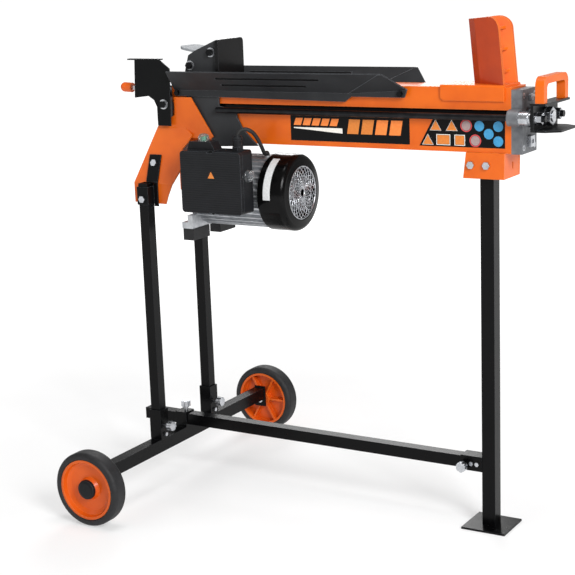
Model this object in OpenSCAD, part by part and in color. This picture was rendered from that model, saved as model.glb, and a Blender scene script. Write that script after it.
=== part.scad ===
// Electric log splitter on a wheeled stand. Millimetres, +Z up, +X from the pusher towards the wedge.
// The origin is on the ground, under the middle of the machine.

/* [Beam] */
// Left end of the beam
beam_x0 = -352; // [-360:1:-345]
// Right end of the beam
beam_x1 = 388; // [380:1:400]
// Width of the beam across its two side walls
beam_w = 70; // [66:1:76]
// Underside of the beam above the ground
beam_z0 = 736; // [720:1:750]
// Top of the bed, where the log lies
bed_z = 855; // [850:1:860]
// Top edge of the lower channel
lower_top_z = 799; // [795:1:799]
// Bottom edge of the upper channel
upper_bottom_z = 814; // [812:1:816]
// Wall thickness of both channels
beam_wall = 4; // [3:0.5:5]

/* [Ram] */
// Height of the cylinder, piston rod and pull rods above the ground
ram_z = 802; // [800:1:804]
// Diameter of the piston rod
piston_rod_d = 30; // [26:1:32]
// Distance of each pull rod from the middle plane
pull_rod_y = 46; // [45:0.5:48]
// Diameter of a pull rod
pull_rod_d = 12; // [10:1:13]
// Front face of the pusher plate, where the log stands
pusher_x = -228; // [-232:1:-224]
// Right face of the yoke plate
yoke_x = 452; // [450:1:456]

/* [Wedge] */
// Bottom of the splitting edge
wedge_x = 302; // [298:1:306]
// Length of the wedge along the beam
wedge_len = 71; // [66:1:73]
// Height of the wedge above its saddle
wedge_h = 117; // [110:1:130]
// Lean of the wedge towards the log, in degrees
wedge_lean = 5.4; // [0:0.1:7]

/* [Stand] */
// Distance from the middle plane to each left leg
leg_y = 95; // [90:1:100]
// Place of the left legs and the axle tube along the beam
leg_x = -388; // [-392:1:-384]
// Side of the square left leg tubes
leg_side = 22; // [20:1:24]
// Place of the right leg along the beam
right_leg_x = 331; // [328:1:334]
// Side of the square right leg tube
right_leg_side = 27; // [25:1:28]
// Underside of the axle tube
axle_z0 = 80; // [78:1:82]
// Height of the axle tube
axle_h = 27; // [25:1:28]
// Wheel radius
wheel_r = 76; // [74:1:76]
// Width of a tyre
wheel_w = 38; // [34:1:40]
// Outer face of each wheel from the middle plane
track_half = 355; // [352:1:360]

/* [Motor] */
// Height of the motor axis above the ground
motor_z = 636; // [634:1:638]
// Radius over the cooling fins
motor_r = 74; // [72:1:76]
// Number of cooling fins
fin_count = 36; // [24:2:40]

/* [Hidden] */

fine = 48;
gap = 0.1;                          // diameter clearance of a running fit
half_w = beam_w / 2;
sheet_t = 2.5;
plate_t = 4;                        // sliding side plates of the pusher
plate_y = half_w + 1;               // inner face of a sliding side plate
tray_y = plate_y + plate_t + 2;     // inner face of a tray flange
saddle_t = 4;
saddle_top = bed_z + saddle_t;
cylinder_x0 = -312;
head_x1 = beam_x1 + 21;
valve_x0 = -387;
valve_y0 = -42.5;
lever_y = -30;
pivot = [-366, 838];                // lever pivot, x and z
spool_x = -379;
guard_y = -56;
guard_bolt = [-360, 812];
tray_bolts = [[-333, 835], [171, 841]];
bracket_y = 43;                     // inner face of a side bracket
bracket_t = 3.5;
fold_z = 765;                       // upper fold of a side bracket
foot_z = 652;                       // lower fold
leg_in = leg_y - leg_side / 2;
leg_out = leg_y + leg_side / 2;
slope_out = leg_in - bracket_y - bracket_t;
slope_drop = fold_z - foot_z;
slope_len = sqrt(slope_drop * slope_drop + slope_out * slope_out);
slope_tilt = atan(slope_out / slope_drop);
leg_bolt_z = 623;
axle_top = axle_z0 + axle_h;
sleeve_z1 = axle_top + 65;
bar_side = 24;
bar_z0 = axle_top + 7;
bar_z1 = bar_z0 + bar_side;
bar_x0 = -484;
bar_x1 = 300;
knob_z = 137;
foot_t = 4;
leg_head_z = 731;
motor_x0 = -288;
motor_x1 = -131;
gear_m = 3;                         // gear module
gear_n = 10;
gear_pa = 25;                       // pressure angle
gear_rp = gear_m * gear_n / 2;
shaft_d = 14;
switch_x = [-275, -134];
switch_z = [607, 730];
switch_y = [-130, -120, -74];       // front, joint between cover and body, back
start_pos = [-236, -100];
hump_z = 747;                       // top of the rise under the start button
reset_pos = [-105, 682];             // y and z
gland_pos = [-158, -98];
lead_boss = [-142, -12];

ORANGE = "darkorange";
BLACK = "#262626";
STEEL = "silver";
CAST = "#8d8f8e";

// ---- Shared shapes ----

// A box given by its two opposite corners
module span(a, b) {
    translate(a) cube(b - a);
}

// A cylinder from a point along an axis
module rod_x(p, l, d) {
    translate(p) rotate([0, 90, 0]) cylinder(h = l, d = d, $fn = fine);
}
module rod_y(p, l, d) {
    translate(p) rotate([-90, 0, 0]) cylinder(h = l, d = d, $fn = fine);
}
module rod_z(p, l, d) {
    translate(p) cylinder(h = l, d = d, $fn = fine);
}

// A hexagon head; a is its size across flats
module hex_x(p, l, a) {
    translate(p) rotate([0, 90, 0]) cylinder(h = l, d = a / cos(30), $fn = 6);
}
module hex_y(p, l, a) {
    translate(p) rotate([-90, 0, 0]) cylinder(h = l, d = a / cos(30), $fn = 6);
}
module hex_z(p, l, a) {
    translate(p) cylinder(h = l, d = a / cos(30), $fn = 6);
}

// A flat outline in the XZ plane, from y towards +Y
module side_sheet(y, t, points) {
    translate([0, y + t, 0]) rotate([90, 0, 0]) linear_extrude(t) polygon(points);
}

// A flat outline in the YZ plane, from x towards +X
module end_sheet(x, t) {
    translate([x, 0, 0]) rotate([90, 0, 90]) linear_extrude(t) children();
}

// A rectangle with rounded corners, from its low corner
module round_rect(p, size, r) {
    translate(p) union() {
        translate([r, 0]) square([size.x - 2 * r, size.y]);
        translate([0, r]) square([size.x, size.y - 2 * r]);
        for (x = [r, size.x - r], y = [r, size.y - r]) translate([x, y]) circle(r, $fn = fine);
    }
}

// The same thing on both sides of the middle plane
module both() {
    children();
    mirror([0, 1, 0]) children();
}

// ---- Beam and cylinder ----

module upper_channel() {
    color(ORANGE) difference() {
        span([beam_x0, -half_w, upper_bottom_z], [beam_x1, half_w, bed_z]);
        span([beam_x0 - 1, -half_w + beam_wall, upper_bottom_z - 1],
            [beam_x1 + 1, half_w - beam_wall, bed_z - beam_wall]);
        both() for (b = tray_bolts) rod_y([b.x, 20, b.y], 20, 6);
    }
}

module lower_channel() {
    color(ORANGE) difference() {
        span([beam_x0, -half_w, beam_z0], [beam_x1, half_w, lower_top_z]);
        span([beam_x0 - 1, -half_w + beam_wall, beam_z0 + beam_wall],
            [beam_x1 + 1, half_w - beam_wall, lower_top_z + 1]);
    }
}

module cylinder_tube() {
    color(STEEL) difference() {
        rod_x([cylinder_x0, 0, ram_z], beam_x1 - cylinder_x0, 60);
        rod_x([cylinder_x0 - 1, 0, ram_z], beam_x1 - cylinder_x0 + 2, 50);
    }
}

head_bolt_y = 26;
head_bolt_z = [beam_z0 + 10, bed_z - 15];
plug_z = ram_z - 46;
bleed_z = ram_z + 34;

module cylinder_head() {
    color(CAST) difference() {
        union() {
            span([beam_x1, -half_w, beam_z0 - 1], [head_x1, half_w, bed_z - 4]);
            span([beam_x1, -pull_rod_y, ram_z - 15], [head_x1, pull_rod_y, ram_z + 15]);
            both() rod_x([beam_x1, pull_rod_y, ram_z], head_x1 - beam_x1, 30);
        }
        rod_x([beam_x1 - 1, 0, ram_z], 40, piston_rod_d + gap);
        rod_x([head_x1 - 3, 0, ram_z], 4, 42);
        both() rod_x([beam_x1 - 1, pull_rod_y, ram_z], 40, 20);
        for (y = [-head_bolt_y, head_bolt_y], z = head_bolt_z) rod_x([head_x1 - 8, y, z], 9, 11);
        rod_x([head_x1 - 12, 0, bleed_z], 13, 8);
        rod_x([head_x1 - 12, 0, plug_z], 13, 14);
    }
}

module head_fittings() {
    color(STEEL) {
        for (y = [-head_bolt_y, head_bolt_y], z = head_bolt_z) difference() {
            rod_x([head_x1 - 8, y, z], 8, 11);
            hex_x([head_x1 - 4, y, z], 5, 5);
        }
        rod_x([head_x1 - 12, 0, bleed_z], 12, 8);
        hex_x([head_x1, 0, bleed_z], 6, 12);
        difference() {
            union() {
                rod_x([head_x1 - 12, 0, plug_z], 12, 14);
                span([head_x1, -10, plug_z - 10], [head_x1 + 7, 10, plug_z + 10]);
            }
            hex_x([head_x1 + 3, 0, plug_z], 5, 8);
        }
        // bushings that guide the pull rods
        both() difference() {
            union() {
                rod_x([beam_x1, pull_rod_y, ram_z], head_x1 - beam_x1, 20);
                rod_x([head_x1, pull_rod_y, ram_z], 18, 26);
                rod_x([head_x1 + 18, pull_rod_y, ram_z], 4, 22);
            }
            rod_x([beam_x1 - 1, pull_rod_y, ram_z], 60, pull_rod_d + gap);
        }
    }
}

// ---- Valve and lever pin ----

module valve_body() {
    ear_y = [lever_y - 10, lever_y + 5.5];
    color(CAST) difference() {
        union() {
            span([valve_x0, valve_y0, 776], [beam_x0, 28, 825]);
            span([beam_x0, -half_w + beam_wall, beam_z0 + beam_wall],
                [cylinder_x0, half_w - beam_wall, bed_z - beam_wall]);
            for (y = ear_y) {
                span([pivot.x - 10, y, 825], [pivot.x + 10, y + 4.5, pivot.y]);
                rod_y([pivot.x, y, pivot.y], 4.5, 20);
            }
        }
        rod_x([cylinder_x0 - 10, 0, ram_z], 11, 50);
        rod_z([spool_x, lever_y, 786], 60, 10 + gap);
        rod_y([pivot.x, lever_y - 20, pivot.y], 40, 6);
        rod_y([guard_bolt.x, valve_y0 - 1, guard_bolt.y], 13, 8);
    }
}

module lever_pin() {
    color(STEEL) union() {
        rod_y([pivot.x, lever_y - 10, pivot.y], 20, 6);
        rod_y([pivot.x, lever_y - 12, pivot.y], 2, 10);
        rod_y([pivot.x, lever_y + 10, pivot.y], 1.5, 10);
    }
}

// ---- Wedge ----

saddle_x0 = 250;
saddle_x1 = 376;

module wedge_saddle() {
    color(ORANGE) difference() {
        span([saddle_x0, -half_w - saddle_t, 830], [saddle_x1, half_w + saddle_t, saddle_top]);
        span([saddle_x0 - 1, -half_w, 829], [saddle_x1 + 1, half_w, bed_z]);
        // rounded long edges on top
        both() difference() {
            span([saddle_x0 - 1, half_w, bed_z], [saddle_x1 + 1, half_w + 5, saddle_top + 1]);
            rod_x([saddle_x0 - 2, half_w, bed_z], 140, 2 * saddle_t);
        }
        // clipped lower corner of each side wall
        for (y = [-half_w - 5, half_w - 1]) side_sheet(y, 6,
            [[saddle_x0 - 1, 829], [saddle_x0 + 7, 829], [saddle_x0 - 1, 837]]);
    }
}

module wedge_plan() {
    difference() {
        polygon([[0, 0], [16, -12], [wedge_len, -half_w], [wedge_len, half_w], [16, 12]]);
        polygon([[28, 0], [wedge_len + 1, -half_w + 8], [wedge_len + 1, half_w - 8]]);
    }
}

wedge_foot = 12;                    // extra length below, cut level with the saddle
wedge_corner = 24;

module wedge_outline() {
    difference() {
        square([wedge_len, wedge_h + wedge_foot]);
        translate([wedge_len - wedge_corner, wedge_h + wedge_foot - wedge_corner]) difference() {
            square(wedge_corner + 1);
            circle(wedge_corner, $fn = 64);
        }
    }
}

module wedge() {
    rib_end = wedge_len - 9;
    color(ORANGE) difference() {
        translate([wedge_x, 0, saddle_top]) rotate([0, -wedge_lean, 0]) union() {
            intersection() {
                translate([0, 0, -wedge_foot]) linear_extrude(wedge_h + wedge_foot) wedge_plan();
                translate([0, 60, -wedge_foot]) rotate([90, 0, 0]) linear_extrude(120) wedge_outline();
            }
            for (z = [14, 54, 92]) translate([0, 0, z]) linear_extrude(5)
                polygon([[27, 0], [rib_end, -23.5], [rib_end, 23.5]]);
        }
        span([wedge_x - 60, -60, saddle_top - 40], [wedge_x + 160, 60, saddle_top]);
    }
}

// ---- Log trays ----

fold = [tray_y, bed_z - 13];        // lower bend of a tray, y and z
brim = [76, bed_z + 26];            // its outer top edge
tray_tilt = atan((brim.x - fold.x) / (brim.y - fold.y));
tray_len = norm(brim - fold);
grooves = [[-219, 195, 17], [-225, 235, 35]]; // start, length and height up the sheet

// Angles of the triangle of sheet that closes the right end
end_lean = 45.5;
end_climb = 3.9;

module tray() {
    color(BLACK) difference() {
        union() {
            side_sheet(-fold.x - sheet_t, sheet_t, [[-340, fold.y], [-338, 829], [54, 824], [68, 834],
                [180, 834], [186, 850], [68, fold.y]]);
            translate([0, -fold.x - 0.3, fold.y - 0.3]) rotate([tray_tilt, 0, 0]) {
                rotate([90, 0, 0]) linear_extrude(sheet_t)
                    polygon([[-340, 0], [64, 0], [146, tray_len], [-336, tray_len]]);
                // inner side of the two grooves
                for (g = grooves) difference() {
                    rod_x([g[0] - 2, -sheet_t, g[2]], g[1] + 4, 9);
                    span([-260, -10, 0], [60, -sheet_t + 1, 60]);
                }
            }
            translate([68, -fold.x - 0.5, fold.y - 0.6]) rotate([end_lean, -end_climb, 0])
                rotate([90, 0, 0]) linear_extrude(sheet_t)
                    polygon([[-8, 0], [118, 0], [84.5, 47.6], [76, 47.6]]);
        }
        for (b = tray_bolts) rod_y([b.x, -fold.x - 10, b.y], 20, 6);
        translate([0, -fold.x - 0.3, fold.y - 0.3]) rotate([tray_tilt, 0, 0])
            for (g = grooves) rod_x([g[0], -sheet_t, g[2]], g[1], 5);
    }
}

module front_tray() {
    tray();
}

module rear_tray() {
    mirror([0, 1, 0]) tray();
}

module lever_guard() {
    color(BLACK) difference() {
        union() {
            side_sheet(guard_y, sheet_t, [[-432, 824], [-428, 901], [-365, 901], [-342, 884],
                [-343, 850], [-345, 768], [-377, 768], [-377, 806], [-384, 820], [-397, 828]]);
            span([-428, guard_y, 901], [-365, guard_y + 12, 903.5]);
            span([-446, guard_y, 901], [-428, guard_y + 12, 903.5]);
        }
        rod_y([guard_bolt.x, guard_y - 1, guard_bolt.y], 10, 8);
    }
}

// Bolts of the trays and the guard, with their spacers
module cover_bolts() {
    standoff = valve_y0 - guard_y - sheet_t;
    color(STEEL) {
        both() for (b = tray_bolts) {
            rod_y([b.x, half_w - beam_wall, b.y], tray_y + sheet_t - half_w + beam_wall, 6);
            rod_y([b.x, half_w, b.y], tray_y - half_w, 12);
            hex_y([b.x, tray_y + sheet_t, b.y], 5, 10);
        }
        rod_y([guard_bolt.x, guard_y, guard_bolt.y], valve_y0 + 12 - guard_y, 8);
        rod_y([guard_bolt.x, guard_y + sheet_t, guard_bolt.y], standoff, 14);
        rod_y([guard_bolt.x, guard_y - 2, guard_bolt.y], 2, 20);
        hex_y([guard_bolt.x, guard_y - 8, guard_bolt.y], 6, 13);
    }
}

// ---- Side brackets and left legs ----

// Local frame of the sloping part of the front side bracket: outwards is -Y, down is -Z
module on_slope() {
    translate([0, -bracket_y, fold_z]) rotate([-slope_tilt, 0, 0]) children();
}

strap_x = -379;
strap_bolt = -78;                   // down the slope

module side_bracket() {
    color(ORANGE) difference() {
        union() {
            side_sheet(-bracket_y - bracket_t, bracket_t, [[-341, 826], [-300, 826], [-250, 748],
                [-254, 744], [-306, 744], [-319, fold_z], [-384, fold_z], [-341, 790]]);
            span([-345, -bracket_y, 768], [-320, -half_w, 796]);
            on_slope() side_sheet(-bracket_t, bracket_t, [[-384, 0], [-319, 0], [-297, -16],
                [-306, -32], [-317, -46], [-310, -80], [-330, -slope_len], [-425, -slope_len]]);
            side_sheet(-leg_in, bracket_t, [[-425, foot_z + 1], [-425, 612], [-348, 611],
                [-342, 628], [-330, foot_z + 1]]);
        }
        rod_y([leg_x, -leg_in - 5, leg_bolt_z], 20, 8);
        on_slope() rod_y([strap_x, -20, strap_bolt], 40, 8);
    }
}

module front_side_bracket() {
    side_bracket();
}

module rear_side_bracket() {
    mirror([0, 1, 0]) side_bracket();
}

module bracket_straps() {
    strap_t = 2.5;
    x0 = leg_x - leg_side / 2;
    x1 = leg_x + leg_side / 2;
    color(BLACK) both() difference() {
        union() {
            on_slope() span([strap_x - 14, -bracket_t - 3, -slope_len + 2], [strap_x + 14, -bracket_t, -60]);
            span([x0 - strap_t, -leg_out - strap_t, 611], [x1 + strap_t, -leg_out, 648]);
            span([x0 - strap_t, -leg_out, 611], [x0, -leg_in, 648]);
            span([x1, -leg_out, 611], [x1 + strap_t, -leg_in, 648]);
            span([x1 + strap_t, -leg_in - 3, 606], [strap_x + 14, -leg_in, 656]);
        }
        rod_y([leg_x, -leg_out - 5, leg_bolt_z], 30, 8);
        on_slope() rod_y([strap_x, -20, strap_bolt], 40, 8);
    }
}

module left_leg(y) {
    inner = leg_side - 4;
    color(BLACK) difference() {
        span([leg_x - leg_side / 2, y - leg_side / 2, axle_top + 5],
            [leg_x + leg_side / 2, y + leg_side / 2, 655]);
        span([leg_x - inner / 2, y - inner / 2, axle_top], [leg_x + inner / 2, y + inner / 2, 656]);
        rod_y([leg_x, y - 20, leg_bolt_z], 40, 8);
    }
}

module left_legs() {
    left_leg(-leg_y);
    left_leg(leg_y);
}

// ---- Axle, base bar and right leg ----

axle_half = 308;
axle_plate = 4;
sleeve_side = leg_side + 6;

module axle_frame() {
    tube = 25;
    color(BLACK) difference() {
        union() {
            difference() {
                span([leg_x - tube / 2, -axle_half, axle_z0], [leg_x + tube / 2, axle_half, axle_top]);
                span([leg_x - tube / 2 + 2, -axle_half - 1, axle_z0 + 2],
                    [leg_x + tube / 2 - 2, axle_half + 1, axle_top - 2]);
            }
            both() span([leg_x - 14, axle_half, 62], [leg_x + 14, axle_half + axle_plate, 110]);
            both() difference() {
                span([leg_x - sleeve_side / 2, leg_y - sleeve_side / 2, axle_top],
                    [leg_x + sleeve_side / 2, leg_y + sleeve_side / 2, sleeve_z1]);
                span([leg_x - leg_side / 2, leg_in, axle_top],
                    [leg_x + leg_side / 2, leg_out, sleeve_z1 + 1]);
            }
            span([leg_x - 14, -16, axle_top], [leg_x + 14, 16, bar_z0]);
            difference() {
                span([leg_x - 14, -15, bar_z0], [leg_x + 14, 15, bar_z1 + 3]);
                span([leg_x - 15, -bar_side / 2, bar_z0], [leg_x + 15, bar_side / 2, bar_z1]);
            }
        }
        both() rod_y([leg_x, axle_half - 1, wheel_r], 10, 12);
        both() rod_x([leg_x, leg_y, knob_z], 20, 8);
        both() rod_x([leg_x, leg_y, knob_z - 20], 20, 5);
        rod_z([leg_x + 4, 0, bar_z1 - 1], 10, 8);
    }
}

module base_bar() {
    color(BLACK) difference() {
        span([bar_x0, -bar_side / 2, bar_z0], [bar_x1, bar_side / 2, bar_z1]);
        span([bar_x0 - 1, -bar_side / 2 + 2, bar_z0 + 2], [bar_x1 + 1, bar_side / 2 - 2, bar_z1 - 2]);
    }
}

// A hand knob on a screw, along +Z from the end of the screw
module knob(reach) {
    rod_z([0, 0, 0], reach, 8);
    rod_z([0, 0, reach], 3, 13);
    difference() {
        rod_z([0, 0, reach + 3], 12, 20);
        for (a = [0:60:300]) rotate([0, 0, a]) rod_z([12, 0, reach + 2], 14, 6);
    }
}

socket_x = 282;

module clamp_knobs() {
    color(STEEL) {
        for (y = [-leg_y, leg_y]) translate([leg_x + leg_side / 2, y, knob_z]) rotate([0, 90, 0]) knob(10);
        translate([leg_x + 4, 0, bar_z1]) knob(10);
        translate([socket_x, -bar_side / 2, 122]) rotate([90, 0, 0]) knob(9);
    }
}

leg_half = right_leg_side / 2;
leg_x0 = right_leg_x - leg_half;

module right_leg() {
    color(BLACK) difference() {
        span([leg_x0, -leg_half, foot_t], [leg_x0 + right_leg_side, leg_half, leg_head_z - 3]);
        span([leg_x0 + 2.5, -leg_half + 2.5, foot_t - 1],
            [leg_x0 + right_leg_side - 2.5, leg_half - 2.5, leg_head_z - 2]);
        for (x = foot_bolt_x) rod_y([x, -50, foot_bolt_z], 100, 8);
    }
}

module foot_plate() {
    color(BLACK) difference() {
        span([286, -44, 0], [376, 44, foot_t]);
        rod_z([356, -33, -1], 10, 9);
    }
}

// Socket for the base bar, and the box on top of the leg
module leg_fittings() {
    color(BLACK) {
        difference() {
            span([socket_x - 9, -15, bar_z0 - 3], [leg_x0, 15, bar_z1 + 3]);
            span([socket_x - 10, -bar_side / 2, bar_z0], [leg_x0 + 1, bar_side / 2, bar_z1]);
            rod_y([socket_x, -16, 122], 10, 8);
            for (x = [296, 308]) rod_y([x, -16, 126], 10, 5);
        }
        difference() {
            span([300, -34, 692], [352, 34, leg_head_z]);
            span([303, -31, 691], [349, 31, leg_head_z - 3]);
            for (x = foot_bolt_x) rod_y([x, -50, foot_bolt_z], 100, 8);
        }
    }
}

foot_bolt_x = [310, 341];
foot_bolt_z = 713;

module foot_bracket() {
    color(ORANGE) difference() {
        union() {
            for (y = [-38, 34]) side_sheet(y, 4, [[300, beam_z0], [376, beam_z0], [375, 688], [294, 688]]);
            span([300, -38, leg_head_z], [376, 38, beam_z0]);
            span([371, -38, 688], [375, 38, beam_z0]);
        }
        for (x = foot_bolt_x) rod_y([x, -50, foot_bolt_z], 100, 8);
        end_sheet(360, 30) round_rect([1.5, 703], [5, 14], 2.4);
    }
}

// Bolts of the stand: straps, legs, right bracket, sleeves and wheels
module stand_bolts() {
    color(STEEL) {
        both() on_slope() {
            rod_y([strap_x, -bracket_t - 3, strap_bolt], bracket_t + 3, 8);
            hex_y([strap_x, -bracket_t - 8, strap_bolt], 5, 13);
            hex_y([strap_x, 0, strap_bolt], 6, 13);
        }
        both() {
            rod_y([leg_x, -leg_out - 2.5, leg_bolt_z], leg_side + 2.5 + bracket_t, 8);
            hex_y([leg_x, -leg_out - 7.5, leg_bolt_z], 5, 13);
            hex_y([leg_x, -leg_in + bracket_t, leg_bolt_z], 6, 13);
        }
        both() for (x = foot_bolt_x) {
            rod_y([x, -38, foot_bolt_z], 7, 8);
            hex_y([x, -43, foot_bolt_z], 5, 13);
            hex_y([x, -31, foot_bolt_z], 5, 11);
        }
        both() {
            rod_x([leg_x + leg_side / 2, leg_y, knob_z - 20], 3, 5);
            hex_x([leg_x + sleeve_side / 2, leg_y, knob_z - 20], 4, 8);
        }
        for (x = [296, 308]) {
            rod_y([x, -15, 126], 3, 5);
            hex_y([x, -19, 126], 4, 8);
        }
        both() translate([leg_x, 0, wheel_r]) {
            rod_y([0, axle_half, 0], wheel_y + 30 - axle_half, 12);
            rod_y([0, axle_half + axle_plate, 0], wheel_y + 3.6 - axle_half - axle_plate, 20);
            hex_y([0, wheel_y + 30.4, 0], 3.4, 18);
            rod_y([0, wheel_y + 29, 0], 2, 12);
        }
    }
}

// ---- Wheels ----

wheel_y = track_half - wheel_w;     // inner face of a tyre

// Rim section: radius and distance from the inner face
rim_points = [[6.05, 4], [16, 4], [16, 17], [56, 18], [57, 2], [61.8, 2], [61.8, 36], [57, 36],
    [54, 27], [46, 23], [24, 22], [18, 30], [6.05, 30]];

// Outer face of a wheel is up, along +Z
module rim() {
    color(ORANGE) union() {
        rotate_extrude($fn = 96) polygon(rim_points);
        for (a = [0:60:300]) rotate([0, 0, a]) span([15, -2, 6], [58, 2, 17.5]);
    }
}

function arc(cx, cy, r, a0, a1) = [for (i = [0:6]) let (a = a0 + (a1 - a0) * i / 6)
    [cx + r * cos(a), cy + r * sin(a)]];

module tyre() {
    r = 9;
    color(BLACK) rotate_extrude($fn = 96) polygon(concat([[61.8, 3], [64, 0]],
        arc(wheel_r - r, r, r, -90, 0), arc(wheel_r - r, wheel_w - r, r, 0, 90),
        [[64, wheel_w], [61.8, wheel_w - 3]]));
}

module hub_cap() {
    color(BLACK) rotate_extrude($fn = fine) polygon([[0, 38], [14, 38], [19, 36], [20, 33], [20, 30],
        [16, 30], [16, 34], [0, 35]]);
}

module at_front_wheel() {
    translate([leg_x, -wheel_y, wheel_r]) rotate([90, 0, 0]) children();
}

module at_rear_wheel() {
    mirror([0, 1, 0]) at_front_wheel() children();
}

module front_rim() {
    at_front_wheel() rim();
}
module front_tyre() {
    at_front_wheel() tyre();
}
module front_hub_cap() {
    at_front_wheel() hub_cap();
}
module rear_rim() {
    at_rear_wheel() rim();
}
module rear_tyre() {
    at_rear_wheel() tyre();
}
module rear_hub_cap() {
    at_rear_wheel() hub_cap();
}

// ---- Pump and motor ----

chamber_x0 = -336;
chamber_len = 20;
idler_z = motor_z + 2 * gear_rp;

module pump_housing() {
    color(CAST) difference() {
        union() {
            end_sheet(-343, 43) round_rect([-26, 608], [52, 90], 14);
            span([-340, -25, 690], [-305, 25, beam_z0]);
        }
        for (z = [motor_z, idler_z]) rod_x([chamber_x0, 0, z], chamber_len, 35.4);
        rod_x([chamber_x0 - 6, 0, motor_z], 50, shaft_d + gap);
        rod_x([chamber_x0 - 6, 0, idler_z], chamber_len + 12, 10 + gap);
    }
}

module motor_feet() {
    color(BLACK) for (y = [-78, 20]) difference() {
        span([-312, y, 538], [-286, y + 58, 562]);
        rod_z([-299, y + 29, 537], 10, 9);
    }
}

module motor_shield() {
    color("gainsboro") difference() {
        union() {
            rod_x([-300, 0, motor_z], 12, 2 * motor_r);
            span([-300, -78, 562], [motor_x0, 78, 590]);
            span([-314, -78, 562], [motor_x0, 78, 575]);
        }
        rod_x([-301, 0, motor_z], 20, shaft_d + gap);
    }
}

fin_t = 2.6;

module motor_housing() {
    body_r = motor_r - 8;
    color("gainsboro") difference() {
        union() {
            rod_x([motor_x0, 0, motor_z], motor_x1 - motor_x0, 2 * body_r);
            for (i = [0:fin_count - 1]) translate([0, 0, motor_z]) rotate([i * 360 / fin_count, 0, 0])
                span([motor_x0, -fin_t / 2, body_r - 4], [motor_x1, fin_t / 2, motor_r]);
            span([-230, switch_y[2], 606], [-180, -55, 666]);
            rod_z([lead_boss.x, lead_boss.y, 690], 20, 18);
        }
        rod_x([motor_x0 - 1, 0, motor_z], motor_x1 - motor_x0 - 9, 81);
        rod_x([motor_x0, 0, motor_z], 200, shaft_d + gap);
        rod_z([lead_boss.x, lead_boss.y, 660], 60, 8.4);
    }
}

// Cover section: radius and distance from the motor's end face
cover_r = motor_r + 3.5;
cover_points = concat([[66, 0], [cover_r, 0]], arc(cover_r - 12, 46, 12, 0, 90), [[54.5, 60], [54.5, 56]],
    arc(cover_r - 12, 46, 9.5, 90, 0), [[cover_r - 2.5, 2.5], [66, 2.5]]);

module fan_cover() {
    color(BLACK) translate([motor_x1, 0, motor_z]) rotate([0, 90, 0])
        rotate_extrude($fn = 96) polygon(cover_points);
}

module fan_grille() {
    x = motor_x1 + 56.5;
    wire = 1.6;
    color(BLACK) translate([x, 0, motor_z]) {
        difference() {
            rod_x([0, 0, 0], 3.2, 109);
            rod_x([-1, 0, 0], 6, 101);
        }
        intersection() {
            union() for (i = [-4:4]) {
                span([0, i * 11 - wire / 2, -60], [wire, i * 11 + wire / 2, 60]);
                span([wire, -60, i * 11 - wire / 2], [2 * wire, 60, i * 11 + wire / 2]);
            }
            rod_x([-1, 0, 0], 6, 104);
        }
    }
}

// Involute gear: angle from the middle of a tooth to its flank at radius r
gear_rb = gear_rp * cos(gear_pa);
function inv(a) = tan(a) * 180 / PI - a;
function flank(r) = 90 / gear_n - 0.6 + inv(gear_pa) - inv(acos(min(1, gear_rb / r)));
flank_r = [12, gear_rb, 14.2, 15, 15.8, 16.6, 17.4];
function tooth(c) = concat(
    [for (i = [0:6]) let (a = c - flank(max(gear_rb, flank_r[i]))) flank_r[i] * [cos(a), sin(a)]],
    [for (i = [6:-1:0]) let (a = c + flank(max(gear_rb, flank_r[i]))) flank_r[i] * [cos(a), sin(a)]]);

module gear_outline() {
    polygon([for (k = [0:gear_n - 1]) each tooth(k * 360 / gear_n)]);
}

module motor_rotor() {
    color(STEEL) translate([0, 0, motor_z]) union() {
        rod_x([chamber_x0 - 6, 0, 0], 247, shaft_d);
        end_sheet(chamber_x0 + 0.1, chamber_len - 0.2) gear_outline();
        rod_x([-275, 0, 0], 115, 80);
        rod_x([-125, 0, 0], 26, 28);
        rod_x([-125, 0, 0], 3, 120);
        for (a = [0:45:315]) rotate([a, 0, 0]) span([-123, 12, -1.25], [-101, 58, 1.25]);
    }
}

module idler_gear() {
    color(STEEL) translate([0, 0, idler_z]) union() {
        rod_x([chamber_x0 - 5, 0, 0], chamber_len + 10, 10);
        rotate([180 / gear_n, 0, 0]) end_sheet(chamber_x0 + 0.1, chamber_len - 0.2) gear_outline();
    }
}

// ---- Switch box ----

module switch_side(inset) {
    x0 = switch_x[0] + inset;
    x1 = switch_x[1] - inset;
    yb = switch_y[2] - inset;
    polygon([[x0, switch_y[1]], [x1, switch_y[1]], [x1, -86], [x1 - 12, yb], [x0 + 12, yb], [x0, -86]]);
}

module switch_front(inset) {
    size = [switch_x[1] - switch_x[0] - 2 * inset, switch_z[1] - switch_z[0] - 2 * inset];
    round_rect([switch_x[0] + inset, switch_z[0] + inset], size, 7 - inset);
}

module switch_box() {
    color(BLACK) difference() {
        union() {
            intersection() {
                translate([0, 0, switch_z[0]]) linear_extrude(switch_z[1] - switch_z[0]) switch_side(0);
                translate([0, switch_y[2], 0]) rotate([90, 0, 0]) linear_extrude(switch_y[2] - switch_y[1])
                    switch_front(0);
            }
            side_sheet(-114, 28, [[-268, 722], [-202, 722], [-202, 730], [-212, hump_z], [-260, hump_z],
                [-268, 730]]);
        }
        translate([0, 0, switch_z[0] + 3]) linear_extrude(switch_z[1] - switch_z[0] - 6) switch_side(3);
        rod_z([start_pos.x, start_pos.y, 700], 60, 14.6);
        rod_z([gland_pos.x, gland_pos.y, 700], 60, 12);
        rod_x([switch_x[1] - 10, reset_pos.x, reset_pos.y], 20, 14.6);
    }
}

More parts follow.
